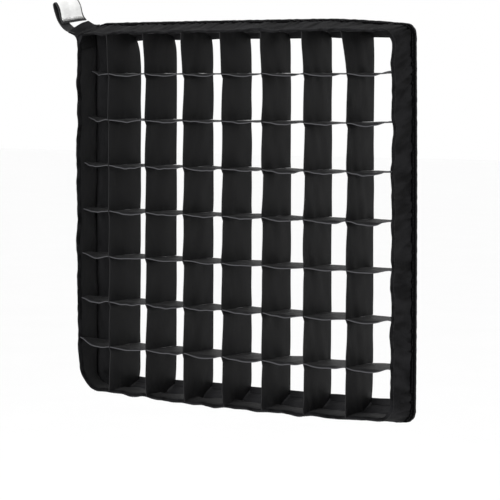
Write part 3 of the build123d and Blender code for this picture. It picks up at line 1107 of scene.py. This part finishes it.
class SOFTGRID_OT_corner_ear(bpy.types.Operator):
    """Fold of wall cloth that stands out of the upper left corner and carries the pull tab"""

    bl_idname = "softgrid.corner_ear"
    bl_label = "Corner Ear"

    def execute(self, context):
        front = np.array([
            (-230, 228.0), (-238, 228.2), (-245, 230.2), (-252.8, 232.8), (-254.4, 231.8), (-249.4, 229.9),
            (-243, 227.0), (-239.8, 221.5), (-238.6, 213), (-234, 219), (-231, 225)]) * MM
        rear = np.array([
            (-238, 243.2), (-246.5, 243.2), (-252, 245.2), (-258.6, 248.3), (-259.8, 247.0),
            (-254.6, 242.6), (-250.0, 239.2), (-248.2, 234), (-247.2, 227), (-243, 232), (-239, 239)]) * MM
        crease = Ripple(41, 16 * MM, 6, stretch=(1.0, 2.0))
        rows = []
        ys = np.linspace(FRONT_Y + 1.2 * MM, TAPE_FRONT_Y - 1.6 * MM, 26)
        for y in ys:
            share = (y - ys[0]) / (ys[-1] - ys[0])
            loop = front * (1 - share) + rear * share
            rise = math.sin(math.pi * share) * bell(np.arange(2, 6), 3.5, 1.4)
            loop[2:6] += np.array((-1.2, 1.6)) * MM * rise[:, None]
            closed = np.concatenate([loop, loop[:1]])
            line = spline(closed, 57)[:-1]
            centre = line.mean(0)
            out = line - centre
            out /= np.linalg.norm(out, axis=1, keepdims=True)
            across = steps_along(line)
            creasing = 0.45 * MM * crease(across, y) * ease(np.abs(share - 0.5), 0.5, 0.42)
            line = line + out * creasing[:, None]
            rows.append(np.stack([line[:, 0], np.full(len(line), y), line[:, 1]], 1))
        ear = loft_piece("corner_ear_cloth", np.stack(rows), wall_cloth())
        settle(ear, "corner_patch", "rear_frame")
        squash_band(ear)
        return {"FINISHED"}


def loft_piece(name, sections, material, sharp=60.0):
    """Closed body through rows of closed sections, with flat ends."""
    rows, columns = sections.shape[:2]
    ids = np.arange(rows * columns).reshape(rows, columns)
    aside = np.roll(ids, -1, 1)
    quads = np.stack([ids[:-1], ids[1:], aside[1:], aside[:-1]], 2).reshape(-1, 4)
    faces = [tuple(q) for q in quads] + [tuple(ids[0]), tuple(ids[-1][::-1])]
    along = steps_along(sections[:, 0])
    loop = np.concatenate([sections[rows // 2], sections[rows // 2][:1]])
    across = steps_along(loop)
    uvs = []
    for i in range(rows - 1):
        for j in range(columns):
            uvs += [(across[j], along[i]), (across[j], along[i + 1]),
                    (across[j + 1], along[i + 1]), (across[j + 1], along[i])]
    for end in (sections[0], sections[-1][::-1]):
        uvs += [(point[0], point[2]) for point in end]
    return new_piece(name, sections.reshape(-1, 3), faces, uvs, [material], sharp)


def squash_band(piece):
    """Gives a piece of the wall its own mesh."""
    back = TAPE_FRONT_Y + 1.0 * MM
    max(0.03, (back - FLATTEN_TRAVEL - SEAM_Y) / (back - SEAM_Y))
    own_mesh(piece)


class PullTab:
    """Surface of the folded webbing: place along it from the root, and share across it from the front."""

    root, flare = 0.29, 0.40                # where the narrow neck ends and the full width begins
    neck = 17.5 * MM
    front_route = [(-246.0, 230.6), (-252.5, 232.6), (-258.8, 235.0), (-266.6, 240.7), (-273.4, 248.9),
                   (-278.2, 259.2), (-280.6, 266.8), (-280.5, 269.6), (-278.2, 270.9), (-275.6, 269.0),
                   (-271.8, 262.6), (-270.0, 256.4), (-268.0, 248.8), (-264.6, 243.9)]
    rear_route = [(-251.0, 238.0), (-257.0, 240.2), (-262.5, 242.6), (-269.5, 247.6), (-275.0, 254.6),
                  (-279.6, 264.0), (-283.0, 272.6), (-283.0, 275.4), (-280.6, 276.8), (-277.6, 275.0),
                  (-273.6, 268.4), (-270.8, 258.8), (-268.0, 253.6), (-263.8, 249.6)]

    def __init__(self, along, across):
        front = spline(np.array(self.front_route) * MM, along)
        rear = spline(np.array(self.rear_route) * MM, along)
        place = np.linspace(0, 1, along)
        share = np.linspace(0, 1, across)
        low = TAB_LOW.y + 0.3 * MM
        full_width = TAB_HIGH.y - TAB_LOW.y - 0.6 * MM
        wide = self.neck + (full_width - self.neck) * ease(place, self.root, self.flare)
        y = low + wide[:, None] * share
        full = (y - low) / (TAB_HIGH.y - low)
        flat = front[:, None] * (1 - full[..., None]) + rear[:, None] * full[..., None]
        sag = Ripple(51, 40 * MM, 4)
        bend = 0.5 * MM * sag(place[:, None] * 0.09, y) * ease(place, 0.05, 0.2)[:, None]
        self.grid = np.stack([flat[..., 0] + bend, y, flat[..., 1] + bend * 0.4], 2)
        normal = np.cross(np.gradient(self.grid, axis=0), np.gradient(self.grid, axis=1))
        self.normal = normal / np.linalg.norm(normal, axis=2, keepdims=True)


class SOFTGRID_OT_pull_tab(bpy.types.Operator):
    """Webbing folded into two legs, with a blank woven label sewn on the upper one"""

    bl_idname = "softgrid.pull_tab"
    bl_label = "Pull Tab"

    def execute(self, context):
        _, colours = settings()
        webbing = finish_for("webbing", webbing_finish, colours.webbing)
        woven = finish_for("blank_label", label_finish, colours.label)
        thread = finish_for("label_thread", thread_finish, shade(colours.label, 0.36))
        tab = PullTab(150, 41)
        low, high = thicken(tab.grid, 1.5 * MM)
        strap = cloth_piece("tab_webbing", low, high, grid_uv(tab.grid), webbing, sharp=50)
        settle(strap, "pull_tab", "corner_tab")
        side = 1.0 if tab.normal[120, 20, 0] > 0 else -1.0
        self.label(tab, side, woven)
        self.bar(tab, side, thread)
        return {"FINISHED"}

    @staticmethod
    def part_of(tab, rows, columns, lift):
        return tab.grid[rows, columns] + tab.normal[rows, columns] * lift

    def label(self, tab, side, material):
        rows, columns = slice(92, 143), slice(2, 38)         # the upper leg, inside the webbing's margins
        buckle = 0.25 * MM * Ripple(52, 14 * MM, 5)(tab.grid[rows, columns, 1], tab.grid[rows, columns, 2])
        edge = np.minimum(1, np.minimum(np.arange(51), np.arange(51)[::-1]) / 4)[:, None]
        lift = side * (0.78 * MM + np.abs(buckle) * edge)[..., None]
        under = self.part_of(tab, rows, columns, lift)
        over = self.part_of(tab, rows, columns, lift + side * 0.45 * MM)
        label = cloth_piece("tab_label_cloth", under, over, grid_uv(under), material, sharp=50)
        settle(label, "tab_label", "corner_tab")

    def bar(self, tab, side, material):
        """Dense bar of stitches over the label's lower end."""
        lines = []
        for column in np.linspace(2.4, 36.6, 74):
            low, share = int(column), column - int(column)
            points = []
            for row in (138, 141, 144):
                a = self.part_of(tab, row, low, side * 1.25 * MM)
                b = self.part_of(tab, row, low + 1, side * 1.25 * MM)
                points.append(a * (1 - share) + b * share)
            lines.append(np.array(points))
        sew("tab_stitches", lines, material, "corner_tab", pitch=1.6 * MM, radius=0.26 * MM)


# ---- stitches: short thread capsules laid along lines by a node tree ----
STITCH_INPUTS = {"Pitch": 3.6 * MM, "Radius": 0.22 * MM, "Share": 0.78}


def stitch_tree(material):
    """Node tree that lays one rounded stitch at every pitch along each edge of a mesh."""
    tree = bpy.data.node_groups.new("stitches", "GeometryNodeTree")
    face = tree.interface
    face.new_socket("Lines", in_out="INPUT", socket_type="NodeSocketGeometry")
    sockets = {}
    for name, default in STITCH_INPUTS.items():
        made = face.new_socket(name, in_out="INPUT", socket_type="NodeSocketFloat")
        made.default_value = default
        sockets[name] = made.identifier
    face.new_socket("Stitches", in_out="OUTPUT", socket_type="NodeSocketGeometry")

    def node(kind, settings=None, inputs=None):
        made = tree.nodes.new(kind)
        for key, value in (settings or {}).items():
            setattr(made, key, value)
        for key, value in (inputs or {}).items():
            if isinstance(value, bpy.types.NodeSocket):
                tree.links.new(value, made.inputs[key])
            else:
                made.inputs[key].default_value = value
        return made

    start = node("NodeGroupInput")
    curve = node("GeometryNodeMeshToCurve", None, {"Mesh": start.outputs["Lines"]})
    spaced = node("GeometryNodeResampleCurve", {"mode": "LENGTH"},
                  {"Curve": curve.outputs["Curve"], "Length": start.outputs["Pitch"]})
    tangent = node("GeometryNodeInputTangent")
    turn = node("FunctionNodeAlignRotationToVector", {"axis": "Z"}, {"Vector": tangent.outputs["Tangent"]})
    half = node("ShaderNodeMath", {"operation": "MULTIPLY"}, {0: start.outputs["Pitch"], 1: 0.5})
    reach = node("ShaderNodeMath", {"operation": "MULTIPLY"},
                 {0: half.outputs[0], 1: start.outputs["Share"]})
    size = node("ShaderNodeCombineXYZ", None, {"X": start.outputs["Radius"], "Y": start.outputs["Radius"],
                                              "Z": reach.outputs[0]})
    stitch = node("GeometryNodeMeshUVSphere", None, {"Segments": 6, "Rings": 5, "Radius": 1.0})
    placed = node("GeometryNodeInstanceOnPoints", None,
                  {"Points": spaced.outputs["Curve"], "Instance": stitch.outputs["Mesh"],
                   "Rotation": turn.outputs["Rotation"], "Scale": size.outputs["Vector"]})
    real = node("GeometryNodeRealizeInstances", None, {"Geometry": placed.outputs["Instances"]})
    finish = node("GeometryNodeSetMaterial", None,
                  {"Geometry": real.outputs["Geometry"], "Material": material})
    end = node("NodeGroupOutput")
    tree.links.new(finish.outputs["Geometry"], end.inputs["Stitches"])
    return tree, sockets


def sew(name, lines, material, body, pitch=None, radius=None):
    """One mesh piece of stitches along open lines of points."""
    sizes, _ = settings()
    points, edges = [], []
    for line in lines:
        first = len(points)
        points += [tuple(p) for p in line]
        edges += [(first + n, first + n + 1) for n in range(len(line) - 1)]
    mesh = bpy.data.meshes.new(name + "_lines")
    mesh.from_pydata(points, edges, [])
    guide = bpy.data.objects.new(name + "_lines", mesh)
    bpy.context.scene.collection.objects.link(guide)
    tree, sockets = stitch_tree(material)
    modifier = guide.modifiers.new("stitches", "NODES")
    modifier.node_group = tree
    modifier[sockets["Pitch"]] = pitch or sizes.stitch
    modifier[sockets["Radius"]] = radius or sizes.thread
    evaluated = guide.evaluated_get(bpy.context.evaluated_depsgraph_get())
    made_mesh = bpy.data.meshes.new_from_object(evaluated)
    made = bpy.data.objects.new(name, made_mesh)
    bpy.context.scene.collection.objects.link(made)
    bpy.data.objects.remove(guide)
    made_mesh.shade_smooth()
    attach(made, body)
    return made


def ring_line(y, inset, wave=None, corner_free=0):
    """Line of points round the rims at one depth, which may leave the tab's corner free."""
    ring = ring_grid([(y, inset)], wave)[:, 0]
    if corner_free:
        return ring[corner_free:-CORNER_STEPS - corner_free]
    return np.concatenate([ring, ring[:1]])


class SOFTGRID_OT_stitches(bpy.types.Operator):
    """Rows of stitches along both hems and the tape"""

    bl_idname = "softgrid.stitches"
    bl_label = "Stitches"

    def execute(self, context):
        _, colours = settings()
        thread = finish_for("thread", thread_finish, colours.thread)

        def on_hem(run, y, inset):
            return front_wave(run, y)

        def on_flange(run, y, inset):
            return flange_shift()

        sew("front_hem_stitches", [ring_line(SEAM_Y - 1.8 * MM, -0.32 * MM, on_hem)], thread, "front_frame")
        inside, outside = REAR_Y - 1.9 * MM, REAR_Y + 0.05 * MM
        rows = [(inside, 24.0 * MM), (outside, 24.0 * MM), (outside, 20.4 * MM)]
        fixed = [ring_line(y, inset, on_flange) for y, inset in rows]
        fixed += [ring_line(y, -0.72 * MM, None, 8)
                  for y in (TAPE_FRONT_Y + 1.0 * MM, TAPE_BACK_Y - 1.5 * MM)]
        sew("rear_hem_stitches", fixed, thread, "rear_frame")
        return {"FINISHED"}


class SOFTGRID_OT_stage(bpy.types.Operator):
    """Plain pale floor, soft studio light and the camera"""

    bl_idname = "softgrid.stage"
    bl_label = "Stage"

    def execute(self, context):
        scene = context.scene
        scene.view_settings.view_transform = "Standard"
        self.camera(scene)
        self.floor()
        self.light("overhead", (-0.2, 0.3, 2.2), 2.4, 6)
        self.light("front_right", (2.8, -2.0, 1.2), 1.8, 10)
        self.light("front_fill", (-0.5, -3.2, 0.6), 2.0, 90)
        world = bpy.data.worlds.new("studio")
        world.use_nodes = True
        sky = world.node_tree.nodes["Background"]
        sky.inputs["Color"].default_value = (1, 1, 1, 1)
        sky.inputs["Strength"].default_value = 1.0
        scene.world = world
        return {"FINISHED"}

    @staticmethod
    def camera(scene):
        data = bpy.data.cameras.new("camera")
        data.lens = 168.14
        data.sensor_width = 36
        data.clip_end = 100
        made = bpy.data.objects.new("camera", data)
        made.location = (1.7627, -2.3915, 0.1729)
        made.rotation_euler = (math.radians(90 - 4.22), 0, math.radians(36.42))
        scene.collection.objects.link(made)
        scene.camera = made

    @staticmethod
    def floor():
        finish = Finish("pale_floor", Specular_IOR_Level=0.1)
        grain = finish.noise(finish.place(), 3.0, 3.0)
        material = finish.finish(
            Base_Color=finish.ramp(grain, [(0.3, (0.97, 0.97, 0.97)), (0.7, (0.98, 0.98, 0.98))]),
            Roughness=grain * 0.05 + 0.85)
        mesh = bpy.data.meshes.new("floor")
        low = CAD_BOX[0].z - 0.9                # the grid hangs well above the floor
        half = 30
        mesh.from_pydata([(-half, -half, low), (half, -half, low), (half, half, low), (-half, half, low)],
                         [], [(0, 1, 2, 3)])
        mesh.materials.append(material)
        floor = bpy.data.objects.new("floor", mesh)
        bpy.context.scene.collection.objects.link(floor)

    @staticmethod
    def light(name, place, size, power):
        """Square soft light that faces the middle of the grid."""
        data = bpy.data.lights.new(name, "AREA")
        data.shape = "SQUARE"
        data.size = size
        data.energy = power
        made = bpy.data.objects.new(name, data)
        made.location = place
        made.rotation_euler = (-Vector(place)).to_track_quat("-Z", "Y").to_euler()
        bpy.context.scene.collection.objects.link(made)


OPERATORS = [SOFTGRID_OT_stage, SOFTGRID_OT_front_hem, SOFTGRID_OT_walls, SOFTGRID_OT_rear_hem,
             SOFTGRID_OT_tapes, SOFTGRID_OT_hoops, SOFTGRID_OT_uprights, SOFTGRID_OT_levels,
             SOFTGRID_OT_corner_ear, SOFTGRID_OT_pull_tab, SOFTGRID_OT_stitches]


class SOFTGRID_PT_panel(bpy.types.Panel):
    """Lists the grid's pieces in the order they are made"""

    bl_idname = "SOFTGRID_PT_panel"
    bl_label = "Egg Crate"
    bl_space_type = "VIEW_3D"
    bl_region_type = "UI"
    bl_category = "Egg Crate"

    def draw(self, context):
        for group in (context.scene.grid_sizes, context.scene.grid_colours):
            box = self.layout.box()
            for key in group.bl_rna.properties.keys():
                if key not in ("rna_type", "name"):
                    box.prop(group, key)
        for operator in OPERATORS:
            self.layout.operator(operator.bl_idname)


CLASSES = [GridSizes, GridColours, *OPERATORS, SOFTGRID_PT_panel]


def register():
    for made in CLASSES:
        bpy.utils.register_class(made)
    bpy.types.Scene.grid_sizes = bpy.props.PointerProperty(type=GridSizes)
    bpy.types.Scene.grid_colours = bpy.props.PointerProperty(type=GridColours)


def unregister():
    del bpy.types.Scene.grid_colours
    del bpy.types.Scene.grid_sizes
    for made in reversed(CLASSES):
        bpy.utils.unregister_class(made)


def main():
    register()
    for operator in OPERATORS:
        group, name = operator.bl_idname.split(".")
        getattr(getattr(bpy.ops, group), name)()


if __name__ == "__main__":
    main()
